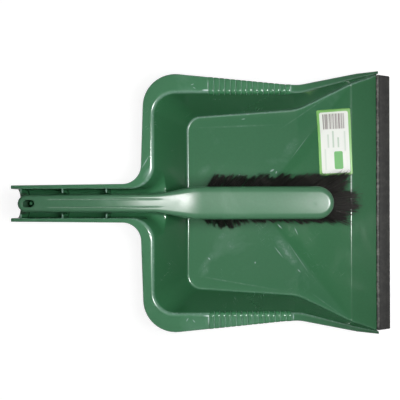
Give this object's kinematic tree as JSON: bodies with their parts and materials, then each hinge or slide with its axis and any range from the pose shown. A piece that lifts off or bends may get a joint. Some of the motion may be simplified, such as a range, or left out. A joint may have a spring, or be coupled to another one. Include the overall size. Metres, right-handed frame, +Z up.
{
  "type": "dustpan and brush set",
  "caption": "Wide moulded dustpan with ribbed side grips, rubber lip and channelled handle, and a hand brush with soft fanned bristles nested in it.",
  "frame": {"origin": "centre of the set's box, on the surface it stands on", "axes": "+X along the handle towards the lip, +Y across, to the left of the pan seen from the handle, +Z up"},
  "size_m": [0.438, 0.32, 0.1],
  "materials": {
    "pan_plastic": "semi-gloss moulded polypropylene, lightly scratched",
    "brush_plastic": "satin moulded polypropylene, dulled by handling",
    "lip_rubber": "matt black rubber, greyed by use",
    "bristle": "soft black synthetic bristle",
    "staple_wire": "plain flat wire",
    "label_paper": "coated paper with a printed border and bars"
  },
  "bodies": {
    "dustpan": {"pan": "pan_plastic", "rubber_lip": "lip_rubber", "paper_label": "label_paper"},
    "brush": {"brush_stock": "brush_plastic", "tuft_staples": "staple_wire", "tuft_row_01": "bristle", "tuft_row_02": "bristle", "tuft_row_03": "bristle", "tuft_row_04": "bristle", "tuft_row_05": "bristle", "tuft_row_06": "bristle", "tuft_row_07": "bristle", "tuft_row_08": "bristle", "tuft_row_09": "bristle", "tuft_row_10": "bristle", "tuft_row_11": "bristle", "tuft_row_12": "bristle", "tuft_row_13": "bristle", "tuft_row_14": "bristle", "tuft_row_15": "bristle", "tuft_row_16": "bristle", "tuft_row_17": "bristle", "tuft_row_18": "bristle"}
  },
  "joints": [
    {"name": "brush_lift", "type": "slide", "parent": "dustpan", "child": "brush", "axis": [0, 0, 1], "range_m": [0, 0.15]}
  ]
}
